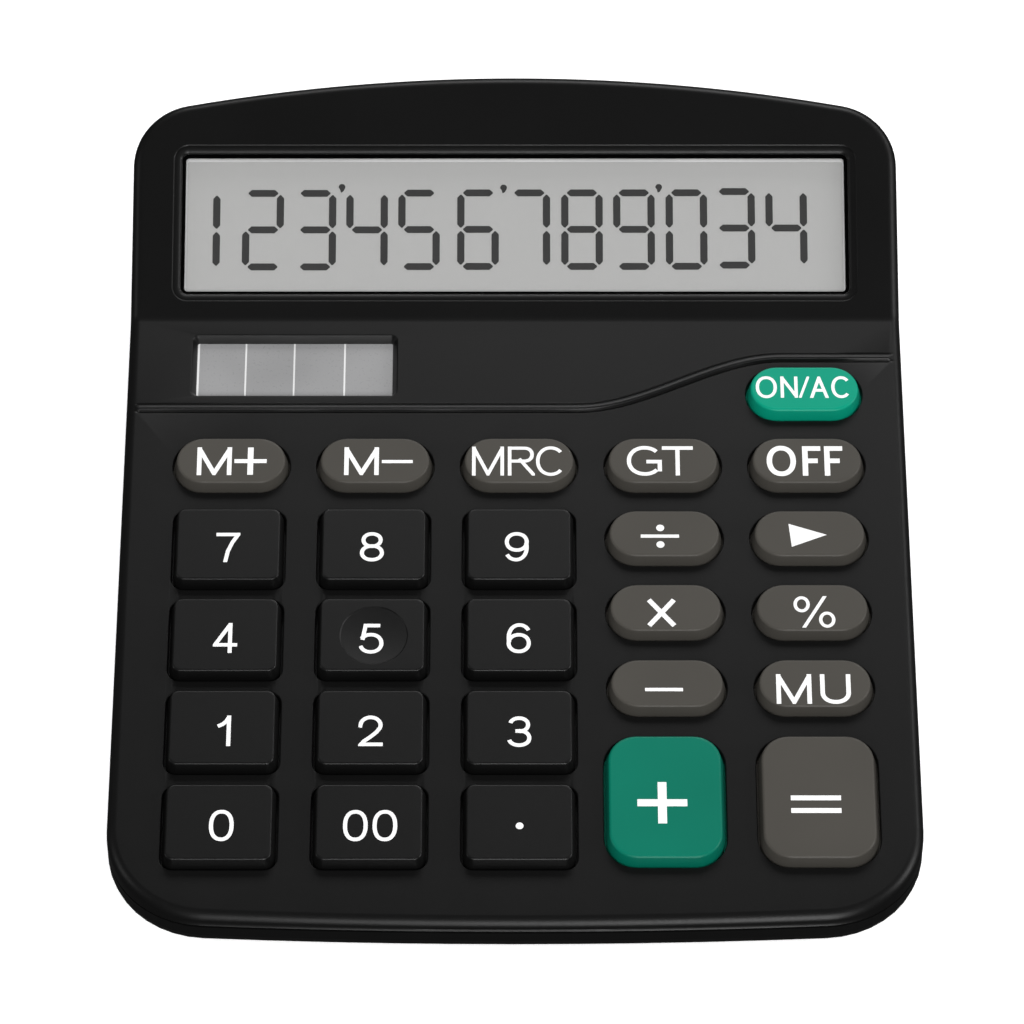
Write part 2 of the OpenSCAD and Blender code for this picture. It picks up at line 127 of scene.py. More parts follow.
FIRST_ROW = 14.38       # up the deck to the middle of key 0
BLACK_RISE = 1.75       # its top above the deck
WINDOW_MIDDLE = 15.3    # up the panel to the middle of the display window
WINDOW_DEPTH = 1.2      # its top below the panel
window_normal = largest_normal("display_window")
deck = Slope(math.asin(press_axis().y), "key_0", FIRST_ROW, BLACK_RISE)
panel = Slope(
    math.atan2(abs(window_normal.y), abs(window_normal.z)),
    "display_window", WINDOW_MIDDLE, -WINDOW_DEPTH,
)
CREASE = 103.95         # up the deck to the line where the panel starts
PANEL_LENGTH = 39.45    # from there up the panel to the back edge
FRONT_LINE = -1.46      # the deck's front edge


def place_on_deck(node):
    """Middle of a CAD node across and up the deck."""
    low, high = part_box(node)
    return (low.x + high.x) / 2 / MM, sum(reach(node, deck.along)) / 2 - deck.start


# ---- outlines ----

def arc(cx, cy, r, start, end, steps):
    """Points along an arc, with angles in degrees."""
    turns = [math.radians(start + (end - start) * i / steps) for i in range(steps + 1)]
    return [(cx + r * math.cos(t), cy + r * math.sin(t)) for t in turns]


def rounded(width, length, radius, steps=8):
    """Outline of a rounded rectangle about its middle, or of a stadium."""
    points = []
    for sx, sy, start in ((1, -1, -90), (1, 1, 0), (-1, 1, 90), (-1, -1, 180)):
        corner = (sx * (width / 2 - radius), sy * (length / 2 - radius))
        points += arc(*corner, radius, start, start + 90, steps)
    pairs = zip(points, points[1:] + points[:1])
    return [p for p, q in pairs if math.dist(p, q) > 1e-5]


FRONT_R = 15            # round corners at the front
FRONT_BOW = 950         # radius of the bowed front edge
BACK_R = 10
BACK_BOW = 285


def front_outline(inset):
    """Front end of the case seen along the deck's normal, from the right side to the left."""
    across = HALF_W - FRONT_R
    rise = FRONT_BOW - math.sqrt((FRONT_BOW - FRONT_R) ** 2 - across ** 2)
    lean = math.degrees(math.asin(across / (FRONT_BOW - FRONT_R)))
    right = arc(across, rise, FRONT_R - inset, 0, -90 + lean, 16)
    middle = arc(0, FRONT_BOW, FRONT_BOW - inset, -90 + lean, -90 - lean, 24)
    left = arc(-across, rise, FRONT_R - inset, -90 - lean, -180, 16)
    return right + middle[1:-1] + left


def rear_outline(inset):
    """Rear end of the case, from the left side to the right."""
    across = HALF_W - BACK_R
    drop = BACK_BOW - math.sqrt((BACK_BOW - BACK_R) ** 2 - across ** 2)
    lean = math.degrees(math.asin(across / (BACK_BOW - BACK_R)))
    left = arc(-across, -drop, BACK_R - inset, 180, 90 + lean, 14)
    middle = arc(0, -BACK_BOW, BACK_BOW - inset, 90 + lean, 90 - lean, 36)
    right = arc(across, -drop, BACK_R - inset, 90 - lean, 0, 14)
    return left + middle[1:-1] + right


EDGE_R = 1.6            # rounding of the case's top edge
WALL = 2.0
DECK_T = 1.6
SEAM_TOP = 6.15         # the upper case's lower edge
SEAM_EDGE = [(0, 0.15), (0.05, 0.04), (0.15, 0)]    # its rounding: (inset, height over the edge)
CREASE_R = 4.0
CREASE_STEPS = 5

# Raised line across the deck: (distance from its middle, height), from the front side to the back
BEAD = [
    (-1.0, 0), (-0.85, -0.16), (-0.68, -0.26), (-0.55, -0.1), (-0.48, 0.15), (-0.36, 0.31),
    (-0.2, 0.35), (0.1, 0.29), (0.4, 0.19), (0.52, 0.02), (0.6, -0.16), (0.75, -0.14), (0.9, 0),
]


BEND_START = 9.5
BEND_LENGTH = 31
BEND_STEPS = 24
LINE_LOW = 87.5
LINE_CLIMB = 9.3


def bead_middle(x):
    """Place of the raised line up the deck: straight, an S bend, straight."""
    s = min(1, max(0, (x - BEND_START) / BEND_LENGTH))
    return LINE_LOW + LINE_CLIMB * s * s * (3 - 2 * s)


def bead_turn(x):
    """Angle of the raised line at x, in radians."""
    step = 0.01
    return math.atan((bead_middle(x + step) - bead_middle(x - step)) / (2 * step))


def crease_point(x, step, drop):
    """Point of the rounded valley where the deck meets the display panel, drop below it."""
    half_turn = (panel.angle - deck.angle) / 2
    centre = deck.at(x, CREASE - CREASE_R * math.tan(half_turn), CREASE_R)
    angle = deck.angle + 2 * half_turn * step / CREASE_STEPS
    return centre + Vector((0, math.sin(angle), -math.cos(angle))) * (CREASE_R + drop)


SIDE_COUNT = CREASE_STEPS + 1 + len(BEAD)
FRONT_COUNT = len(front_outline(0))


def case_ring(inset, drop):
    """Ring round the case's top edge: right side, front, left side, back."""
    side = HALF_W - inset
    crease = range(CREASE_STEPS + 1)
    right_bead = [bead_middle(HALF_W) + offset for offset, _ in reversed(BEAD)]
    left_bead = [bead_middle(-HALF_W) + offset for offset, _ in BEAD]
    return (
        [crease_point(side, step, drop) for step in reversed(crease)]
        + [deck.at(side, a, -drop) for a in right_bead]
        + [deck.at(x, FRONT_LINE + y, -drop) for x, y in front_outline(inset)]
        + [deck.at(-side, a, -drop) for a in left_bead]
        + [crease_point(-side, step, drop) for step in crease]
        + [panel.at(x, PANEL_LENGTH + y, -drop) for x, y in rear_outline(inset)]
    )


def foot_ring(inset, z):
    """The same points on a level ring, for the case's upright sides."""
    above = case_ring(0, EDGE_R)
    side = HALF_W - inset
    left_start = SIDE_COUNT + FRONT_COUNT
    places = [(side, point.y) for point in above[:SIDE_COUNT]]
    places += [(x, -HALF_L + y) for x, y in front_outline(inset)]
    places += [(-side, point.y) for point in above[left_start:left_start + SIDE_COUNT]]
    places += [(x, HALF_L + y) for x, y in rear_outline(inset)]
    return [Vector((x, y, z)) for x, y in places]


# ---- mesh tools ----

def add_ring(bm, points):
    return [bm.verts.new(point) for point in points]


def bridge(bm, first, second, closed=True):
    """Quads between two rows of as many vertices."""
    count = len(first)
    for i in range(count if closed else count - 1):
        j = (i + 1) % count
        bm.faces.new((first[i], first[j], second[j], second[i]))


def loft(bm, rings):
    """Walls through several rings of points. Returns the first and the last ring of vertices."""
    rows = [add_ring(bm, ring) for ring in rings]
    for first, second in zip(rows, rows[1:]):
        bridge(bm, first, second)
    return rows[0], rows[-1]


def fill(bm, rings):
    """A flat face inside the first ring and outside the others."""
    edges = []
    for ring in rings:
        for a, b in zip(ring, ring[1:] + ring[:1]):
            edges.append(bm.edges.get((a, b)) or bm.edges.new((a, b)))
    bmesh.ops.triangle_fill(bm, use_beauty=True, use_dissolve=False, edges=edges)


def shape_on(plane, x, a, outline, h):
    return [plane.at(x + px, a + pa, h) for px, pa in outline]


def quarter(radius, steps):
    """(inset, drop) round a quarter circle, from the flat face to the upright one."""
    turns = [math.pi / 2 * i / steps for i in range(steps + 1)]
    return [(radius * (1 - math.sin(t)), radius * (1 - math.cos(t))) for t in turns]


def make_piece(name, bm, material, body, replaces=(), sharp=50):
    """Turns a mesh in millimetres into a piece that rides on a body. Edges over sharp degrees stay."""
    bmesh.ops.recalc_face_normals(bm, faces=bm.faces)
    for edge in bm.edges:
        two = len(edge.link_faces) == 2
        edge.smooth = two and edge.calc_face_angle(0) < math.radians(sharp)
    for face in bm.faces:
        face.smooth = True
    bmesh.ops.scale(bm, vec=(MM, MM, MM), verts=bm.verts)
    mesh = bpy.data.meshes.new(name)
    bm.to_mesh(mesh)
    bm.free()
    mesh.materials.append(material)
    piece = bpy.data.objects.new(name, mesh)
    bpy.context.scene.collection.objects.link(piece)
    weighted = piece.modifiers.new("weighted normals", "WEIGHTED_NORMAL")
    weighted.keep_sharp = True
    weighted.weight = 80
    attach(piece, body)
    if replaces:
        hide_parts(*replaces)
    return piece


# ---- materials ----

NOISE_LOW = 0.3         # noise seldom leaves this range
NOISE_HIGH = 0.7
CLOUD = 18              # millimetres across a patch of slightly other colour
GLOSS_SPREAD = 0.04
METAL_GRAIN = 0.15


def new_material(name):
    """A Principled material and its parts: (material, nodes, links, shader, object coordinates)."""
    material = bpy.data.materials.new(name)
    material.use_nodes = True
    nodes = material.node_tree.nodes
    links = material.node_tree.links
    place = nodes.new("ShaderNodeTexCoord").outputs["Object"]
    return material, nodes, links, nodes["Principled BSDF"], place


def add_noise(nodes, links, place, size, detail=2.0):
    """Noise whose lumps are about size millimetres across."""
    noise = nodes.new("ShaderNodeTexNoise")
    noise.inputs["Scale"].default_value = 1 / (size * MM)
    noise.inputs["Detail"].default_value = detail
    links.new(place, noise.inputs["Vector"])
    return noise.outputs["Fac"]


def add_ramp(nodes, links, source, stops):
    """A colour ramp through (place, colour) stops."""
    ramp = nodes.new("ShaderNodeValToRGB")
    elements = ramp.color_ramp.elements
    while len(elements) < len(stops):
        elements.new(0.5)
    for element, (position, colour) in zip(elements, stops):
        element.position = position
        element.color = (*colour, 1)
    links.new(source, ramp.inputs["Fac"])
    return ramp.outputs["Color"]


def add_range(nodes, links, source, low, high):
    """The usual range of noise carried to low to high."""
    mapped = nodes.new("ShaderNodeMapRange")
    mapped.inputs["From Min"].default_value = NOISE_LOW
    mapped.inputs["From Max"].default_value = NOISE_HIGH
    mapped.inputs["To Min"].default_value = low
    mapped.inputs["To Max"].default_value = high
    links.new(source, mapped.inputs["Value"])
    return mapped.outputs["Result"]


def add_bump(nodes, links, source, depth, shader):
    """Bump of about depth millimetres."""
    bump = nodes.new("ShaderNodeBump")
    bump.inputs["Strength"].default_value = 1.0
    bump.inputs["Distance"].default_value = depth * MM
    links.new(source, bump.inputs["Height"])
    links.new(bump.outputs["Normal"], shader.inputs["Normal"])


def shade(colour, factor):
    return tuple(channel * factor for channel in colour)


def moulded(name, colour, roughness, grain=0.22, depth=0.004, uneven=0.08, specular=0.4):
    """Moulded plastic: a fine spark-eroded grain, with slightly uneven colour and gloss."""
    material, nodes, links, shader, place = new_material(name)
    cloud = add_noise(nodes, links, place, CLOUD)
    tone = add_ramp(nodes, links, cloud, [
        (NOISE_LOW, shade(colour, 1 - uneven)), (NOISE_HIGH, shade(colour, 1 + uneven)),
    ])
    links.new(tone, shader.inputs["Base Color"])
    fine = add_noise(nodes, links, place, grain, 3)
    gloss = add_range(nodes, links, fine, roughness - GLOSS_SPREAD, roughness + GLOSS_SPREAD)
    links.new(gloss, shader.inputs["Roughness"])
    shader.inputs["Specular IOR Level"].default_value = specular
    add_bump(nodes, links, fine, depth, shader)
    return material


def metal(name, colour, roughness):
    """Plated metal with faint rolling marks."""
    material, nodes, links, shader, place = new_material(name)
    fine = add_noise(nodes, links, place, METAL_GRAIN, 4)
    tone = add_ramp(nodes, links, fine, [
        (NOISE_LOW, shade(colour, 0.85)), (NOISE_HIGH, shade(colour, 1.1)),
    ])
    links.new(tone, shader.inputs["Base Color"])
    links.new(add_range(nodes, links, fine, roughness - 0.06, roughness + 0.08),
              shader.inputs["Roughness"])
    shader.inputs["Metallic"].default_value = 1.0
    add_bump(nodes, links, fine, 0.004, shader)
    return material


def window_material():
    """Thin clear plastic that mirrors a little."""
    material, nodes, links, shader, place = new_material("clear_window")
    haze = add_noise(nodes, links, place, 6)
    tone = add_ramp(nodes, links, haze, [
        (NOISE_LOW, (0.1, 0.1, 0.1)), (NOISE_HIGH, (0.12, 0.12, 0.12)),
    ])
    links.new(tone, shader.inputs["Base Color"])
    shader.inputs["Roughness"].default_value = 0.04
    shader.inputs["Alpha"].default_value = 0.05
    return material


def lcd_material():
    """Grey display glass over its reflector, with a very fine sparkle."""
    material, nodes, links, shader, place = new_material("lcd_glass")
    sparkle = add_noise(nodes, links, place, 0.3, 3)
    tone = add_ramp(nodes, links, sparkle, [(NOISE_LOW, LCD_GREY), (NOISE_HIGH, shade(LCD_GREY, 1.05))])
    links.new(tone, shader.inputs["Base Color"])
    shader.inputs["Roughness"].default_value = 0.35
    shader.inputs["Specular IOR Level"].default_value = 0.3
    return material


def banded(name, colour, other, axis, low, high, roughness, metallic=0.0):
    """A sleeve whose colour changes along an axis between two places, in metres."""
    material, nodes, links, shader, place = new_material(name)
    split = nodes.new("ShaderNodeSeparateXYZ")
    links.new(place, split.inputs["Vector"])
    mapped = nodes.new("ShaderNodeMapRange")
    mapped.inputs["From Min"].default_value = low
    mapped.inputs["From Max"].default_value = high
    links.new(split.outputs[axis], mapped.inputs["Value"])
    tone = add_ramp(nodes, links, mapped.outputs["Result"], [(0.0, colour), (1.0, other)])
    links.new(tone, shader.inputs["Base Color"])
    fine = add_noise(nodes, links, place, 0.4, 3)
    links.new(add_range(nodes, links, fine, roughness - 0.03, roughness + 0.03),
              shader.inputs["Roughness"])
    shader.inputs["Metallic"].default_value = metallic
    return material


def board_material():
    """Green lacquer over copper tracks."""
    material, nodes, links, shader, place = new_material("circuit_board")
    tracks = nodes.new("ShaderNodeTexBrick")
    tracks.inputs["Scale"].default_value = 1
    tracks.inputs["Brick Width"].default_value = 0.006
    tracks.inputs["Row Height"].default_value = 0.0012
    tracks.inputs["Mortar Size"].default_value = 0.0002
    tracks.inputs["Color1"].default_value = (0.012, 0.09, 0.03, 1)
    tracks.inputs["Color2"].default_value = (0.016, 0.12, 0.04, 1)
    tracks.inputs["Mortar"].default_value = (0.03, 0.2, 0.07, 1)
    links.new(place, tracks.inputs["Vector"])
    links.new(tracks.outputs["Color"], shader.inputs["Base Color"])
    add_bump(nodes, links, tracks.outputs["Fac"], 0.02, shader)
    shader.inputs["Roughness"].default_value = 0.3
    return material


CASE_BLACK = (0.0034, 0.0034, 0.0034)
KEY_BLACK = (0.003, 0.003, 0.003)
KEY_GREY = (0.0545, 0.0508, 0.0445)
KEY_GREEN = (0.001, 0.133, 0.086)
KEY_BRIGHT_GREEN = (0.001, 0.25, 0.157)
INK_WHITE = (0.79, 0.79, 0.79)
LCD_GREY = (0.375, 0.375, 0.37)

MATERIALS = {
    "case_black": moulded("case_black", CASE_BLACK, 0.4, specular=0.3),
    "key_black": moulded("key_black", KEY_BLACK, 0.4, depth=0.003, specular=0.36),
    "key_grey": moulded("key_grey", KEY_GREY, 0.42, depth=0.003, uneven=0.05, specular=0.2),
    "key_green": moulded("key_green", KEY_GREEN, 0.4, depth=0.003, uneven=0.05, specular=0.2),
    "key_bright_green": moulded("key_bright_green", KEY_BRIGHT_GREEN, 0.4, depth=0.003, uneven=0.05,
                                specular=0.2),
    "key_ink": moulded("key_ink", INK_WHITE, 0.5, depth=0.002, uneven=0.02),
    "lcd_ink": moulded("lcd_ink", (0.027, 0.027, 0.027), 0.4, depth=0.001, uneven=0.04),
    "clear_window": window_material(),
    "lcd_glass": lcd_material(),
    "lcd_film": moulded("lcd_film", (0.4, 0.4, 0.38), 0.6),
    "inner_plastic": moulded("inner_plastic", (0.03, 0.03, 0.032), 0.6),
    "flat_cable": moulded("flat_cable", (0.32, 0.12, 0.02), 0.25, depth=0.002),
    "solar_glass": moulded("solar_glass", (0.24, 0.24, 0.243), 0.3, grain=0.4, depth=0.001, uneven=0.1),
    # painted highlight: light grey for the band along the edge of the display's opening
    "lcd_edge_highlight": moulded("lcd_edge_highlight", (0.6, 0.6, 0.6), 0.4, depth=0.001),
    "solar_line": moulded("solar_line", (0.62, 0.62, 0.62), 0.4, depth=0.001),
    "circuit_board": board_material(),
    # painted shade: near-black with almost no gloss, for the shadowed gap round the display's window
    "painted_shade_black": moulded("painted_shade_black", (0.0004, 0.0004, 0.0004), 0.8, specular=0.02),
    "silicone": moulded("silicone", (0.22, 0.23, 0.22), 0.6, uneven=0.05),
    "carbon": moulded("carbon", (0.008, 0.008, 0.008), 0.8),
    "chip_cover": moulded("chip_cover", (0.008, 0.008, 0.008), 0.2),
    "capacitor_sleeve": moulded("capacitor_sleeve", (0.02, 0.04, 0.14), 0.3),
    "cell_jacket": banded("cell_jacket", (0.012, 0.012, 0.013), (0.55, 0.26, 0.06), 0,
                          0.0115, 0.0125, 0.3, 0.6),
    "contact_metal": metal("contact_metal", (0.62, 0.63, 0.64), 0.25),
    "screw_metal": metal("screw_metal", (0.42, 0.43, 0.45), 0.32),
    "red_wire": moulded("red_wire", (0.4, 0.015, 0.01), 0.35),
    "black_wire": moulded("black_wire", (0.01, 0.01, 0.01), 0.35),
    "foot_rubber": moulded("foot_rubber", (0.012, 0.012, 0.012), 0.75, grain=0.35, depth=0.012),
}


def dress_cad_nodes():
    """Gives each CAD node that stays in view the material of its slot in the record."""
    for subpart in frame["record"]["subparts"]:
        node = frame["nodes"][subpart["node"]]
        if not node.material_slots:
            node.data.materials.append(None)
        for slot in node.material_slots:
            slot.link = "OBJECT"
            slot.material = MATERIALS[subpart["material_slot"]]


# ---- keys ----

FLANGE = 1.1            # how far a key's skirt reaches out under the deck
FLANGE_TOP = 1.7
FLANGE_LOW = 2.5
KEY_WALL = 1.4
STEM_R = 2.3
STEM_END = 2.6
SLOT_GAP = 0.33         # between a key and its opening
SLOT_EDGE = 0.2         # rounding of the opening
BLACK_LENGTHS = (10, 15)    # only black keys have a length between these
DISHED_KEY = "key_5"
DISH_R = 4.9
DISH_STEP = 0.1
DISH_DEPTH = 0.16
DISH_SHIFT = 0.24
DISH_LIFT = -0.14
DISH_RINGS = 8

# Kind of key: corner radius (None for round ends), draft, edge rounding, material
KINDS = {
    "black": (1.6, 0.4, 0.3, "key_black"),
    "oval": (None, 0.32, 0.4, "key_grey"),
    "tall": (4.4, 0.32, 0.45, "key_grey"),
}


class Key:
    """A key's place, size and kind, read from its CAD node."""

    def __init__(self, node):
        self.node = node
        low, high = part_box(node)
        near, far = reach(node, deck.along)
        self.x, self.a = place_on_deck(node)
        self.width = (high.x - low.x) / MM - 2 * FLANGE
        self.length = far - near - 2 * FLANGE
        self.rise = reach(node, deck.up)[1] - deck.level
        shortest, longest = BLACK_LENGTHS
        self.kind = "black"
        if self.length <= shortest:
            self.kind = "oval"
        if self.length >= longest:
            self.kind = "tall"
        radius = KINDS[self.kind][0]
        self.radius = radius or self.length / 2

    def outline(self, grow):
        return rounded(self.width + 2 * grow, self.length + 2 * grow, self.radius + grow)

    def ring(self, grow, h):
        return shape_on(deck, self.x, self.a, self.outline(grow), h)

    def dished(self):
        return self.node == DISHED_KEY

    def surface(self, x, a):
        """Height of the top face at a place given from the key's middle."""
        if not self.dished():
            return self.rise
        ball = (DISH_R ** 2 + DISH_DEPTH ** 2) / (2 * DISH_DEPTH)
        away = math.hypot(x - DISH_SHIFT, a - DISH_LIFT)
        if away > DISH_R:
            return self.rise
        bowl = DISH_DEPTH - ball + math.sqrt(ball ** 2 - away ** 2)
        return self.rise - DISH_STEP - bowl


KEYS = {}
for subpart in frame["record"]["subparts"]:
    if subpart["node"].startswith("key_") and subpart["node"] != "key_membrane":
        KEYS[subpart["node"]] = Key(subpart["node"])


def key_top(bm, key, rim):
    """Closes a key's top, with a finger dish where it has one."""
    if not key.dished():
        fill(bm, [rim])
        return
    step_out, step_in = 0.14, 0.04
    radii = [DISH_R + step_out, DISH_R - step_in]
    radii += [DISH_R * (1 - i / DISH_RINGS) for i in range(1, DISH_RINGS)]
    rings = []
    for radius in radii:
        circle = arc(DISH_SHIFT, DISH_LIFT, radius, 0, 360, 64)[:-1]
        rings.append([deck.at(key.x + x, key.a + a, key.surface(x, a)) for x, a in circle])
    outer, inner = loft(bm, rings)
    fill(bm, [rim, outer])
    fill(bm, [inner])


def make_key(key):
    _, draft, edge, material = KINDS[key.kind]
    bm = bmesh.new()
    rings = [key.ring(-draft - inset, key.rise - drop) for inset, drop in quarter(edge, 6)]
    rings += [key.ring(0, 0), key.ring(0, -FLANGE_TOP), key.ring(FLANGE, -FLANGE_TOP)]
    rings += [key.ring(FLANGE, -FLANGE_LOW), key.ring(-KEY_WALL, -FLANGE_LOW)]
    rings += [key.ring(-KEY_WALL, key.rise - KEY_WALL)]
    rim, ceiling = loft(bm, rings)
    key_top(bm, key, rim)
    circle = arc(0, 0, STEM_R, 0, 360, 32)[:-1]
    foot, root = loft(bm, [
        shape_on(deck, key.x, key.a, circle, -STEM_END),
        shape_on(deck, key.x, key.a, circle, key.rise - KEY_WALL),
    ])
    fill(bm, [foot])
    fill(bm, [ceiling, root])
    if key.node == "key_plus":
        material = "key_green"
    if key.node == "key_on":
        material = "key_bright_green"
    make_piece(f"{key.node}_cap", bm, MATERIALS[material], key.node, [key.node],
               sharp=20 if key.dished() else 50)


# ---- legends ----
# A glyph is a list of strokes in a unit box, each (kind, points). A "bar" runs on to the edge of
# the box, a "line" ends where its points end, a "ring" is closed and a "patch" is filled.

def ellipse(cx, cy, rx, ry, square=2.0, start=0, end=360, steps=40):
    """Points round an ellipse, or a squarer one as square grows past 2."""
    points = []
    for i in range(steps + 1):
        turn = math.radians(start + (end - start) * i / steps)
        c, s = math.cos(turn), math.sin(turn)
        x = math.copysign(abs(c) ** (2 / square), c)
        y = math.copysign(abs(s) ** (2 / square), s)
        points.append((cx + rx * x, cy + ry * y))
    return points


def turned(strokes):
    """Strokes turned half round."""
    return [(kind, [(1 - x, 1 - y) for x, y in points]) for kind, points in strokes]


SIX = [
    ("ring", ellipse(0.5, 0.315, 0.5, 0.315, 2.1)[:-1]),
    ("line", ellipse(0.54, 0.52, 0.54, 0.48, 2.1, 200, 35)),
]
GLYPHS = {
    "0": [("ring", ellipse(0.5, 0.5, 0.5, 0.5, 2.3)[:-1])],
    "1": [("bar", [(1, 0), (1, 1)]), ("line", [(0.98, 1), (0.75, 0.85), (0.42, 0.74), (0, 0.67)])],
    "2": [("bar", ellipse(0.49, 0.71, 0.49, 0.29, 2, 172, -22, 24)
           + [(0.78, 0.45), (0.5, 0.28), (0.18, 0.12), (0.03, 0), (1, 0)])],
    "3": [("line", ellipse(0.48, 0.755, 0.44, 0.245, 2.1, 165, -90)),
          ("line", ellipse(0.48, 0.265, 0.5, 0.265, 2.1, 90, -165)),
          ("line", [(0.3, 0.52), (0.5, 0.52)])],
    "4": [("bar", [(0.74, 0), (0.74, 1)]), ("bar", [(0.3, 0.24), (1, 0.24)]),
          ("line", [(0.7, 0.98), (0, 0.24), (0.5, 0.24)])],
    "5": [("line", [(0.93, 1), (0.2, 1), (0.06, 0.46)]),
          ("line", ellipse(0.47, 0.33, 0.53, 0.33, 2.1, 148, -163))],
    "6": SIX,
    "7": [("bar", [(0, 1), (1, 1), (0.72, 0.7), (0.5, 0.35), (0.4, 0)])],
    "8": [("ring", ellipse(0.5, 0.76, 0.43, 0.24, 2.1)[:-1]),
          ("ring", ellipse(0.5, 0.265, 0.5, 0.265, 2.1)[:-1])],
    "9": turned(SIX),
    ".": [("patch", ellipse(0.5, 0.5, 0.5, 0.5)[:-1])],
    "+": [("bar", [(0, 0.5), (1, 0.5)]), ("bar", [(0.5, 0), (0.5, 1)])],
    "-": [("bar", [(0, 0.5), (1, 0.5)])],
    "x": [("line", [(0, 0), (1, 1)]), ("line", [(0, 1), (1, 0)])],
    "/": [("bar", [(0, 0), (1, 1)])],
    ">": [("patch", [(0.0, 1.0), (0.07, 0.0), (1.0, 0.52)])],
    "%": [("ring", ellipse(0.17, 0.77, 0.17, 0.23)[:-1]), ("ring", ellipse(0.83, 0.23, 0.17, 0.23)[:-1]),
          ("bar", [(0.24, 0), (0.76, 1)])],
    "M": [("bar", [(0, 0), (0, 1)]), ("bar", [(1, 0), (1, 1)]), ("bar", [(0, 1), (0.5, 0), (1, 1)])],
    "R": [("bar", [(0, 0), (0, 1)]), ("bar", [(0.5, 0.5), (1, 0)]),
          ("line", [(0, 1), (0.62, 1)] + ellipse(0.62, 0.75, 0.34, 0.25, 2.2, 80, -80, 14)
           + [(0.62, 0.5), (0, 0.5)])],
    "C": [("line", ellipse(0.5, 0.5, 0.5, 0.5, 2.1, 42, 318))],
    "G": [("line", ellipse(0.5, 0.5, 0.5, 0.5, 2.1, 44, 318)),
          ("line", [(0.97, 0.1), (0.97, 0.47), (0.55, 0.47)])],
    "T": [("bar", [(0, 1), (1, 1)]), ("bar", [(0.5, 0), (0.5, 1)])],
    "O": [("ring", ellipse(0.5, 0.5, 0.5, 0.5, 2.15)[:-1])],
    "F": [("bar", [(0, 0), (0, 1)]), ("bar", [(0, 1), (1, 1)]), ("line", [(0, 0.5), (0.98, 0.5)])],
    "N": [("bar", [(0, 0), (0, 1)]), ("bar", [(1, 0), (1, 1)]), ("bar", [(0, 1), (1, 0)])],
    "A": [("bar", [(0.04, 0), (0.5, 1), (0.96, 0)]), ("line", [(0.2, 0.33), (0.8, 0.33)])],
    "U": [("bar", [(0, 1)] + ellipse(0.5, 0.36, 0.5, 0.36, 2.1, 180, 360, 20) + [(1, 1)])],
}


def offset_row(points, distance, closed):
    """The points moved sideways by distance, with mitred corners."""
    count = len(points)
    moved = []
    for i, point in enumerate(points):
        back = Vector(point) - Vector(points[i - 1]) if closed or i > 0 else None
        on = Vector(points[(i + 1) % count]) - Vector(point) if closed or i < count - 1 else None
        back, on = back or on, on or back
        left_back = Vector((-back.y, back.x)).normalized()
        left_on = Vector((-on.y, on.x)).normalized()
        middle = (left_back + left_on).normalized()
        reach_out = distance / max(0.25, middle.dot(left_on))
        moved.append(Vector(point) + middle * reach_out)
    return moved


LAYER = 0.002           # keeps strokes that cross from lying in one plane


def glyph_mesh(glyph, width, length, stroke):
    """A flat mesh of a glyph about its middle, width by length over its outside."""
    bm = bmesh.new()
    for layer, (kind, unit) in enumerate(GLYPHS[glyph]):
        wide, long = width - stroke, length - stroke
        if kind == "patch" or (kind == "bar" and glyph in "+-"):
            wide, long = width, length
        points = [((u - 0.5) * wide, (t - 0.5) * long) for u, t in unit]
        lift = layer * LAYER
        if kind == "patch":
            fill(bm, [[bm.verts.new((x, y, lift)) for x, y in points]])
            continue
        if kind == "bar":
            for end, inner in ((0, 1), (-1, -2)):
                way = (Vector(points[end]) - Vector(points[inner])).normalized() * stroke
                points[end] = tuple(Vector(points[end]) + way)
        closed = kind == "ring"
        rows = []
        for side in (stroke / 2, -stroke / 2):
            moved = offset_row(points, side, closed)
            rows.append([bm.verts.new((p.x, p.y, lift)) for p in moved])
        bridge(bm, *rows, closed=closed)
    for axis, far in ((0, width / 2), (1, length / 2)):
        for sign in (-1, 1):
            place, normal = [0, 0, 0], [0, 0, 0]
            place[axis], normal[axis] = sign * far, sign
            bmesh.ops.bisect_plane(bm, geom=bm.verts[:] + bm.edges[:] + bm.faces[:],
                                   plane_co=place, plane_no=normal, clear_outer=True)
    return bm


# Legends: for each key a list of (glyph, x, a, width, length, stroke) from the key's middle
DIGIT = (3.55, 5.15, 0.59)


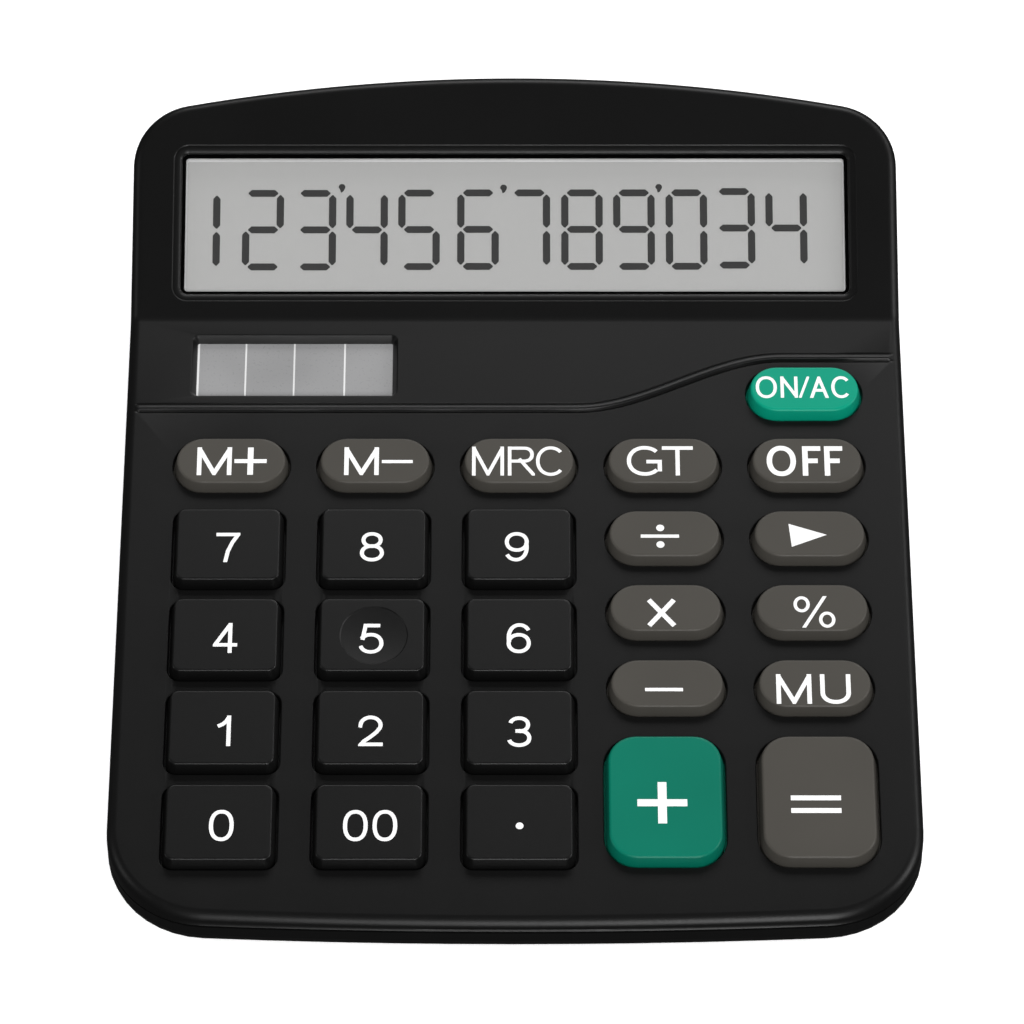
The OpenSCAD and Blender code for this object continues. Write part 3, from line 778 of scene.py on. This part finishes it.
def function_legends():
    return {
        "key_0": [("0", 0.4, -0.64, *DIGIT)],
        "key_00": [("0", -1.95, -0.66, *DIGIT), ("0", 2.3, -0.66, *DIGIT)],
        "key_point": [(".", 0.04, -0.7, 1.12, 1.1, 1)],
        "key_1": [("1", 0.2, -0.66, 2.2, 5.15, 0.6)],
        "key_2": [("2", 0.03, -0.66, *DIGIT)],
        "key_3": [("3", 0.04, -0.8, *DIGIT)],
        "key_4": [("4", 0.04, -0.63, *DIGIT)],
        "key_5": [("5", -0.1, -0.63, *DIGIT)],
        "key_6": [("6", -0.06, -0.67, *DIGIT)],
        "key_7": [("7", -0.02, -0.65, *DIGIT)],
        "key_8": [("8", -0.24, -0.54, *DIGIT)],
        "key_9": [("9", -0.34, -0.53, *DIGIT)],
        "key_plus": [("-", -0.46, -1.14, 7.2, 1.16, 1.16), ("-", -0.46, -1.14, 1.28, 6.85, 6.85)],
        "key_equals": [("-", -0.46, -0.32, 7.25, 0.8, 0.8), ("-", -0.46, -2.43, 7.25, 0.8, 0.8)],
        "key_minus": [("-", -0.46, -1.18, 5.55, 0.56, 0.56)],
        "key_mark_up": [("M", -3.1, -1.08, 5.15, 5.05, 0.66), ("U", 2.98, -1.08, 4.45, 5.05, 0.66)],
        "key_times": [("x", -0.62, -0.99, 4.45, 5.2, 0.74)],
        "key_percent": [("%", 0.3, -0.84, 6.1, 5.45, 0.5)],
        "key_divide": [("-", -0.66, -0.57, 5.7, 0.56, 0.56), (".", -0.6, 0.88, 1.2, 1.15, 1),
                       (".", -0.6, -2.05, 1.2, 1.15, 1)],
        "key_right": [(">", -0.27, -0.42, 5.65, 4.05, 1)],
        "key_mem_plus": [("M", -2.5, -0.22, 5.2, 5.0, 0.68), ("-", 2.93, -0.22, 4.85, 0.7, 0.7),
                         ("-", 2.92, -0.22, 0.86, 4.9, 4.9)],
        "key_mem_minus": [("M", -2.02, -0.22, 5.2, 5.0, 0.68), ("-", 3.35, -0.3, 4.65, 0.55, 0.55)],
        "key_mem_recall": [("M", -4.65, -0.2, 4.8, 5.2, 0.54), ("R", 0.35, -0.2, 4.05, 5.2, 0.54),
                           ("C", 4.78, -0.2, 4.45, 5.3, 0.54)],
        "key_total": [("G", -2.73, -0.15, 5.4, 5.35, 0.63), ("T", 2.2, -0.15, 4.65, 5.25, 0.63)],
        "key_off": [("O", -3.85, -0.17, 4.4, 5.45, 0.82), ("F", 0.7, -0.17, 2.75, 5.3, 0.82),
                    ("F", 4.0, -0.17, 2.75, 5.3, 0.82)],
        "key_on": [("O", -5.75, 0.22, 3.2, 4.0, 0.5), ("N", -2.3, 0.22, 2.6, 3.9, 0.5),
                   ("/", -0.02, 0.22, 1.6, 3.9, 0.4), ("A", 2.25, 0.22, 2.9, 3.9, 0.5),
                   ("C", 5.6, 0.22, 3.0, 4.0, 0.5)],
    }


INK_LIFT = 0.012        # top of the print above the key
INK_THICK = 0.03


def make_legend(key, glyphs):
    """The print on a key's top face, one thin piece for each key."""
    bm = bmesh.new()
    for layer, (glyph, x, a, width, length, stroke) in enumerate(glyphs):
        flat = glyph_mesh(glyph, width, length, stroke)
        mesh = bpy.data.meshes.new("glyph")
        flat.to_mesh(mesh)
        flat.free()
        before = len(bm.verts)
        bm.from_mesh(mesh)
        bpy.data.meshes.remove(mesh)
        bm.verts.ensure_lookup_table()
        for vertex in bm.verts[before:]:
            px, pa, lift = vertex.co.x + x, vertex.co.y + a, vertex.co.z + layer * LAYER
            vertex.co = deck.at(key.x + px, key.a + pa, key.surface(px, pa) + INK_LIFT + lift)
    piece = make_piece(f"{key.node}_legend", bm, MATERIALS["key_ink"], key.node)
    solid = piece.modifiers.new("thickness", "SOLIDIFY")
    solid.thickness = INK_THICK * MM
    solid.offset = -1


# ---- case ----

# Openings: (width, length, corner radius), and the walls' (grow, h) from the outside to the inside
SOLAR_OPENING = (29.9, 9.8, 0.3)
SOLAR_LEVELS = [
    (0.85, 0), (0.72, -0.03), (0.6, -0.16), (0, -1.2), (0, -1.38), (1.1, -1.38), (1.1, -DECK_T),
]
DISPLAY_MIDDLE = WINDOW_MIDDLE + 0.2
DISPLAY_OPENING = (101.7, 21.55, 0.5)
DISPLAY_LEVELS = [
    (1.95, 0), (1.82, -0.04), (1.7, -0.2), (1.5, -0.2), (1.3, -0.22), (1.0, -0.3), (0.75, -0.42),
    (0.58, -0.6), (0.5, -0.8), (0.5, -WINDOW_DEPTH), (2.0, -WINDOW_DEPTH), (2.0, -DECK_T),
]
# painted shade strip round the inside of the display's opening: its (grow, h) levels
SHADE_STRIP_LEVELS = [
    (0, -1.19), (0, -1.12), (0.14, -0.96), (0.46, -0.78), (0.49, -0.82), (0.49, -1.19), (0, -1.19),
]


def cut_hole(bm, plane, x, a, width, length, radius, levels):
    """Walls of an opening through (grow, h) levels. Returns its outer and inner vertices."""
    return loft(bm, [
        shape_on(plane, x, a, rounded(width + 2 * g, length + 2 * g, radius + g), h)
        for g, h in levels
    ])


def key_slots(bm):
    """The keys' openings in the deck."""
    edge = [(inset, -drop) for inset, drop in quarter(SLOT_EDGE, 3)]
    rings = [
        cut_hole(bm, deck, key.x, key.a, key.width + 2 * SLOT_GAP, key.length + 2 * SLOT_GAP,
                 key.radius + SLOT_GAP, edge + [(0, -DECK_T)])
        for key in KEYS.values()
    ]
    return [r[0] for r in rings], [r[1] for r in rings]


def make_bead(bm, left_ends, right_ends):
    """The raised line between its ends on the case's sides. Returns its rows of vertices."""
    edge = HALF_W - EDGE_R
    short = 0.5
    bend = [BEND_START + BEND_LENGTH * k / BEND_STEPS for k in range(BEND_STEPS + 1)]
    stations = [-edge + short, -40, -20, 0] + bend + [49, edge - short]
    rows = []
    for (offset, height), left, right in zip(BEAD, left_ends, right_ends):
        row = [left]
        for x in stations:
            turn = bead_turn(x)
            place = (x - math.sin(turn) * offset, bead_middle(x) + math.cos(turn) * offset)
            row.append(bm.verts.new(deck.at(*place, height)))
        rows.append(row + [right])
    for first, second in zip(rows, rows[1:]):
        bridge(bm, first, second, closed=False)
    return rows


def make_top_case():
    bm = bmesh.new()
    rings = [case_ring(inset, drop) for inset, drop in quarter(EDGE_R, 6)]
    rings += [foot_ring(inset, SEAM_TOP + height) for inset, height in SEAM_EDGE]
    rings += [foot_ring(WALL, SEAM_TOP), case_ring(WALL, DECK_T)]
    top, under = loft(bm, rings)

    slot_tops, slot_lows = key_slots(bm)
    solar_top, solar_under = cut_hole(
        bm, deck, *place_on_deck("solar_cell"), *SOLAR_OPENING, SOLAR_LEVELS)
    window_top, window_under = cut_hole(
        bm, panel, 0, DISPLAY_MIDDLE, *DISPLAY_OPENING, DISPLAY_LEVELS)

    crease = CREASE_STEPS + 1
    front_end = SIDE_COUNT + FRONT_COUNT
    back_start = front_end + SIDE_COUNT
    right_crease, right_bead = top[:crease], top[crease:SIDE_COUNT]
    left_bead = top[front_end:front_end + len(BEAD)]
    left_crease = top[front_end + len(BEAD):back_start]
    rows = make_bead(bm, left_bead, reversed(right_bead))

    # flat faces of the outside
    fill(bm, [rows[0] + top[SIDE_COUNT:front_end]] + slot_tops)
    fill(bm, [rows[-1] + [right_crease[-1], left_crease[0]], solar_top])
    for step in range(CREASE_STEPS):
        bm.faces.new((left_crease[step], right_crease[-1 - step],
                      right_crease[-2 - step], left_crease[step + 1]))
    fill(bm, [[left_crease[-1]] + top[back_start:] + [right_crease[0]], window_top])

    # flat faces of the inside
    right_in = under[:SIDE_COUNT]
    left_in = under[front_end:back_start]
    fill(bm, [right_in[CREASE_STEPS:] + under[SIDE_COUNT:front_end] + left_in[:len(BEAD) + 1],
              solar_under] + slot_lows)
    for step in range(CREASE_STEPS):
        a, b = len(BEAD) + step, CREASE_STEPS - step
        bm.faces.new((left_in[a], right_in[b], right_in[b - 1], left_in[a + 1]))
    fill(bm, [[left_in[-1]] + under[back_start:] + [right_in[0]], window_under])
    make_piece("top_cover", bm, MATERIALS["case_black"], "case", ["top_case"], sharp=40)


# ---- display and solar cell ----

DIGIT_ROWS = (8.98, 14.97, 20.89)   # up the panel to the low, middle and high segments
DIGIT_HALF = 2.65       # from a digit's middle to its upright segments
SEGMENT = 1.12          # a segment's width
SEGMENT_TIP = 0.52      # length of its pointed end
SEGMENT_BLUNT = 0.1     # half width of the point
GAP_ACROSS = 0.36
GAP_UP = 0.29
PRINT_DEPTH = 2.06      # below the panel, just over the glass

# Segments: a top, b and c right, d foot, e and f left, g middle
LIT = {
    "0": "abcdef", "1": "bc", "2": "abged", "3": "abgcd", "4": "fgbc", "5": "afgcd", "6": "afgedc",
    "7": "abc", "8": "abcdefg", "9": "abfgcd",
}
# (digit, x, shift up the panel)
DIGITS = [
    ("1", -48.73, -0.1), ("2", -38.9, 0), ("3", -30.82, 0), ("4", -22.84, 0), ("5", -14.81, 0.05),
    ("6", -5.7, 0.08), ("7", 2.23, 0.08), ("8", 10.36, 0.08), ("9", 18.39, 0.08), ("0", 26.5, 0.1),
    ("3", 33.88, 0.3), ("4", 41.93, 0.3),
]
MARKS = [(-26.75, 21.9), (-1.75, 21.8), (22.25, 21.9)]      # separators
MARK_R = 0.52
MARK_TAIL = [(-0.3, -0.35), (-0.15, -0.9), (0.2, -0.7)]
# painted highlight band on the glass along the opening's edge: outer and inner outlines (width, length, corner
# radius)
HIGHLIGHT_OUTER = (103, 23, 0.5)
HIGHLIGHT_INNER = (101.3, 21.4, 0.3)
SOLAR_LINES = [(-14.75, 0.3), (-7.5, 0.26), (-0.1, 0.26), (7.6, 0.26)]  # (x, width)
SOLAR_LINE_LENGTH = 11.2
SOLAR_LINE_LIFT = 0.01


def segment_outline(x0, a0, x1, a1):
    """A bar with blunt pointed ends, across or up the panel."""
    half, tip, blunt = SEGMENT / 2, SEGMENT_TIP, SEGMENT_BLUNT
    if a0 == a1:
        return [(x0, a0 - blunt), (x0 + tip, a0 - half), (x1 - tip, a0 - half), (x1, a0 - blunt),
                (x1, a0 + blunt), (x1 - tip, a0 + half), (x0 + tip, a0 + half), (x0, a0 + blunt)]
    return [(x0 - blunt, a0), (x0 + blunt, a0), (x0 + half, a0 + tip), (x0 + half, a1 - tip),
            (x0 + blunt, a1), (x0 - blunt, a1), (x0 - half, a1 - tip), (x0 - half, a0 + tip)]


def segment_ends(letter):
    low, middle, high = DIGIT_ROWS
    left, right = -DIGIT_HALF + GAP_ACROSS, DIGIT_HALF - GAP_ACROSS
    rows = {"a": high, "g": middle, "d": low}
    if letter in rows:
        return left, rows[letter], right, rows[letter]
    side = DIGIT_HALF if letter in "bc" else -DIGIT_HALF
    a0, a1 = (middle, high) if letter in "bf" else (low, middle)
    return side, a0 + GAP_UP, side, a1 - GAP_UP


def make_digits():
    bm = bmesh.new()
    for digit, x, lift in DIGITS:
        for letter in LIT[digit]:
            outline = segment_outline(*segment_ends(letter))
            fill(bm, [add_ring(bm, shape_on(panel, x, lift, outline, -PRINT_DEPTH))])
    for x, a in MARKS:
        comma = arc(0, 0, MARK_R, -40, 190, 16) + MARK_TAIL
        fill(bm, [add_ring(bm, shape_on(panel, x, a, comma, -PRINT_DEPTH))])
    make_piece("lcd_digits", bm, MATERIALS["lcd_ink"], "case")


def make_display_painted_shade():
    """Painted shade: a near-black, nearly unreflecting strip between the display's opening and its window, where
    the shadow falls.
    """
    bm = bmesh.new()
    cut_hole(bm, panel, 0, DISPLAY_MIDDLE, *DISPLAY_OPENING, SHADE_STRIP_LEVELS)
    bmesh.ops.remove_doubles(bm, verts=bm.verts, dist=0.001)
    make_piece("display_painted_shade", bm, MATERIALS["painted_shade_black"], "case")


def make_display_edge_highlight():
    """A painted highlight: a light grey band on the glass along the edge of the display's opening."""
    bm = bmesh.new()
    lines = [rounded(*HIGHLIGHT_OUTER), rounded(*HIGHLIGHT_INNER)]
    loft(bm, [shape_on(panel, 0, WINDOW_MIDDLE, line, -PRINT_DEPTH) for line in lines])
    make_piece("lcd_painted_highlight", bm, MATERIALS["lcd_edge_highlight"], "case")


def make_solar_lines():
    """The light lines between the solar cell's four parts."""
    top = reach("solar_cell", deck.up)[1] - deck.level + SOLAR_LINE_LIFT
    middle, a = place_on_deck("solar_cell")
    bm = bmesh.new()
    for x, width in SOLAR_LINES:
        line = rounded(width, SOLAR_LINE_LENGTH, 0.05, 1)
        fill(bm, [add_ring(bm, shape_on(deck, middle + x, a, line, top))])
    make_piece("solar_lines", bm, MATERIALS["solar_line"], "case")


def make_scene_pieces():
    for key in KEYS.values():
        make_key(key)
    for node, glyphs in function_legends().items():
        make_legend(KEYS[node], glyphs)
    make_top_case()
    make_digits()
    make_display_painted_shade()
    make_display_edge_highlight()
    make_solar_lines()


dress_cad_nodes()
make_scene_pieces()


# ---- floor and light ----

FLOOR_HALF = 3          # metres
FLOOR_GLOW = 0.45
WORLD_GLOW = 0.05
# Lamps: (name, place in metres, width, length, watts, kind of light that it doesn't give)
LAMPS = [
    ("fill", (0, -1.1, 1.3), 1.6, 1.2, 40, "glossy"),
    ("left", (-1.35, -0.1, 0.7), 0.4, 0.8, 2, None),
    ("right", (1.35, -0.1, 0.7), 0.4, 0.8, 7, None),
    ("side", (1.3, 0.8, 0.95), 0.4, 0.4, 2.6, None),
    ("back", (0.17, 1.1, 1.0), 1.0, 0.5, 7.6, None),
    ("front", (0.25, -1.7, 0.42), 0.5, 1.25, 20, "diffuse"),
]


def make_floor():
    bm = bmesh.new()
    corners = ((-1, -1), (1, -1), (1, 1), (-1, 1))
    fill(bm, [[bm.verts.new((x * FLOOR_HALF, y * FLOOR_HALF, 0)) for x, y in corners]])
    mesh = bpy.data.meshes.new("floor")
    bm.to_mesh(mesh)
    bm.free()
    floor = bpy.data.objects.new("floor", mesh)
    bpy.context.scene.collection.objects.link(floor)
    material, _, _, shader, _ = new_material("floor_white")
    shader.inputs["Base Color"].default_value = (0.9, 0.9, 0.9, 1)
    shader.inputs["Roughness"].default_value = 0.9
    shader.inputs["Specular IOR Level"].default_value = 0.1
    shader.inputs["Emission Color"].default_value = (1, 1, 1, 1)
    shader.inputs["Emission Strength"].default_value = FLOOR_GLOW
    mesh.materials.append(material)
    floor.visible_glossy = False
    floor.visible_diffuse = False


def softbox(name, place, width, length, power):
    """A soft rectangular lamp at a place in metres, facing the object."""
    data = bpy.data.lights.new(name, "AREA")
    data.shape = "RECTANGLE"
    data.size = width
    data.size_y = length
    data.energy = power
    lamp = bpy.data.objects.new(name, data)
    lamp.location = place
    lamp.rotation_euler = (-Vector(place)).to_track_quat("-Z", "Y").to_euler()
    bpy.context.scene.collection.objects.link(lamp)
    return lamp


def make_light():
    world = bpy.data.worlds.new("world")
    bpy.context.scene.world = world
    world.use_nodes = True
    background = world.node_tree.nodes["Background"]
    background.inputs["Color"].default_value = (1, 1, 1, 1)
    background.inputs["Strength"].default_value = WORLD_GLOW
    for *sizes, left_out in LAMPS:
        lamp = softbox(*sizes)
        lamp.visible_glossy = left_out != "glossy"
        lamp.visible_diffuse = left_out != "diffuse"
    bpy.context.scene.view_settings.view_transform = "Standard"


make_floor()
make_light()
